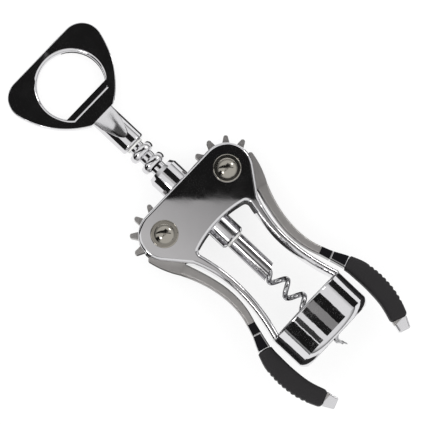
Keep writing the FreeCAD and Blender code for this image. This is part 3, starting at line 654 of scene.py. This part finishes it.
# Cards over the flat faces. Their outlines are where the camera sees them mirrored: millimetres
# right of or above the picture's centre, or places along the tool's own axes.
CARD_HEIGHT = 0.25
FAR_CARD_HEIGHT = 1.20             # the black flag's right piece stands beyond the strips
FLAG_BOTTOM = 4.0                  # the black flag starts where the pale card ends
FLAG_TOP = 110.0
FLAGS = [("flag", -700.0, 24.0, CARD_HEIGHT), ("far_flag", 24.0, 900.0, FAR_CARD_HEIGHT)]
FLAG_BRIGHTNESS = 0.012
PALE_CARD_PICTURE_CORNERS = [(-75.0, FLAG_BOTTOM), (52.0, FLAG_BOTTOM)]
PALE_CARD_TOOL_CORNERS = [(-58.0, -55.0), (-70.0, 20.0)]
PALE_CARD_BRIGHTNESS = (0.62, 0.31)     # towards the tool's left and right
FADE_MIDDLE = 15.0 * MM            # the pale card darkens about this place across the tool
FADE_HALF_RANGE = 24.0 * MM
FLOOR_CARD_CORNERS = [(-11.0, -64.0), (11.0, -64.0), (13.0, -6.0), (-13.0, -6.0)]
FLOOR_CARD_BRIGHTNESS = 0.03
# The neck's front ramp falls towards the plate. It mirrors two dark cards, given by how bright
# each looks and by its outline on the ramp.
RAMP_START_Y = 41.0
RAMP_START_Z = 5.85
RAMP_END_Y = 55.3
RAMP_END_Z = 2.6
RAMP_SLOPE = (RAMP_END_Z - RAMP_START_Z) / (RAMP_END_Y - RAMP_START_Y)
RAMP_CARD_HEIGHT = 0.09
RAMP_CARDS = [
    (0.012, [(-4.9, 55.5), (-4.3, 55.5), (-2.2, 48.0), (0.4, 40.5), (-1.0, 40.5), (-3.8, 48.0)]),
    (0.10, [(2.2, 53.5), (2.9, 53.5), (1.7, 47.0), (0.6, 40.5), (-0.6, 40.5), (-2.0, 47.0), (0.6, 48.0)]),
]
# two small bright cards that the domed rivets mirror as glints, in degrees from straight ahead
# towards the picture's upper right
GLINTS_DEG = (-44.0, 62.0)
GLINT_DISTANCE = 0.3
GLINT_HALF_SIZE = 0.03
GLINT_BRIGHTNESS = 8.0


def picture_point(view, x, y):
    """A point of the view plane, in millimetres from the picture's centre."""
    target, right, up, _ = view
    return target + x * MM * right + y * MM * up


def mirrored_card(name, view, corners, material, height=CARD_HEIGHT, facing=FRONT):
    """A card that a flat face of the tool mirrors exactly inside the given corners."""
    target, _, _, back = view
    eye = target + CAMERA_DISTANCE * back
    places = []
    for corner in corners:
        ray = (corner - eye).normalized()
        mirrored = ray - 2.0 * ray.dot(facing) * facing
        places.append(corner + mirrored * (height / mirrored.dot(FRONT)))
    reflection_only(flat_piece(name, places, material))


def make_flag(view):
    """The black flag that the handle and the frame's upper part mirror, in two pieces."""
    black = glow("flag", FLAG_BRIGHTNESS)
    for name, left, right, height in FLAGS:
        outline = [(left, FLAG_BOTTOM), (right, FLAG_BOTTOM), (right, FLAG_TOP), (left, FLAG_TOP)]
        mirrored_card(name, view, [picture_point(view, x, y) for x, y in outline], black, height)


def make_pale_card(view):
    """The pale card that the frame's lower part mirrors, darker towards the tool's right."""
    corners = [picture_point(view, x, y) for x, y in PALE_CARD_PICTURE_CORNERS]
    corners += [tool_point(x, y) for x, y in PALE_CARD_TOOL_CORNERS]
    mirrored_card("pale_card", view, corners, glow("pale_card", *PALE_CARD_BRIGHTNESS))


def make_ramp_cards(view):
    """Two slanting dark cards that the neck's ramp mirrors as a V."""
    facing = (FRONT - RAMP_SLOPE * ALONG).normalized()
    for index, (brightness, outline) in enumerate(RAMP_CARDS):
        title = "ramp_card_%d" % index
        corners = [tool_point(x, y, RAMP_START_Z + RAMP_SLOPE * (y - RAMP_START_Y)) for x, y in outline]
        mirrored_card(title, view, corners, glow(title, brightness), RAMP_CARD_HEIGHT, facing)


def make_floor_card():
    """A dark card under the worm and rack, which their undersides and the legs' inner sides mirror."""
    places = [tool_point(x, y) for x, y in FLOOR_CARD_CORNERS]
    corners = [Vector((place.x, place.y, STRIP_LIFT)) for place in places]
    reflection_only(flat_piece("floor_card", corners, glow("floor_card", FLOOR_CARD_BRIGHTNESS)))


def make_glints(view):
    """Small bright squares that face the tool and show on the domed rivets."""
    _, right, up, _ = view
    for index, degrees in enumerate(GLINTS_DEG):
        lean = math.radians(degrees)
        towards = math.cos(lean) * FRONT + math.sin(lean) * (right + up).normalized()
        centre = TOOL_CENTRE + GLINT_DISTANCE * towards
        side = towards.cross(ALONG).normalized() * GLINT_HALF_SIZE
        rise = side.cross(towards).normalized() * GLINT_HALF_SIZE
        title = "glint_%d" % index
        corners = [centre + x * side + y * rise for x, y in SQUARE]
        reflection_only(flat_piece(title, corners, glow(title, GLINT_BRIGHTNESS)))


# name, place, size and power of the soft lights
LIGHTS = [("key_light", (-0.7, 0.6, 1.2), 1.2, 5.0),
          ("fill_light", (0.9, -0.4, 1.1), 1.4, 3.0)]
SKY_OVERHEAD = 0.95
SKY_HORIZON = 0.10
SKY_FADE_HEIGHT = 0.35             # directions that rise more steeply than this are at full brightness


def area_light(name, place, size, power):
    """A soft round light that points at the tool and isn't mirrored in it."""
    data = bpy.data.lights.new(name, "AREA")
    data.shape = "DISK"
    data.size = size
    data.energy = power
    light = bpy.data.objects.new(name, data)
    light.location = place
    light.rotation_euler = (TOOL_CENTRE - Vector(place)).to_track_quat("-Z", "Y").to_euler()
    light.visible_glossy = False
    bpy.context.scene.collection.objects.link(light)


def make_world():
    """A studio that is white overhead and dark grey at the horizon."""
    world = bpy.data.worlds.new("studio")
    world.use_nodes = True
    node_list = world.node_tree.nodes
    links = world.node_tree.links
    direction = node_list.new("ShaderNodeTexCoord").outputs["Generated"]
    height = node_list.new("ShaderNodeSeparateXYZ")
    links.new(direction, height.inputs["Vector"])
    background = node_list["Background"]
    background.inputs["Color"].default_value = (*WHITE, 1.0)
    brightness = remap(node_list, links, height.outputs["Z"], 0.0, SKY_FADE_HEIGHT,
                       SKY_HORIZON, SKY_OVERHEAD)
    links.new(brightness, background.inputs["Strength"])
    bpy.context.scene.world = world


def main():
    """Dress the CAD pieces, add the lofted ones, then set up the camera and the studio."""
    dress_cad_nodes()
    for side in (LEFT, RIGHT):
        make_grip(side)
        make_ferrule(side)
    view = make_camera()
    make_floor()
    for name, (radius, start_y, end_y, strips) in STRIP_SETS.items():
        make_strips(name, radius, start_y, end_y, strips)
    make_flag(view)
    make_pale_card(view)
    make_ramp_cards(view)
    make_floor_card()
    make_glints(view)
    for name, place, size, power in LIGHTS:
        area_light(name, place, size, power)
    make_world()
    bpy.context.scene.view_settings.view_transform = "Standard"


main()
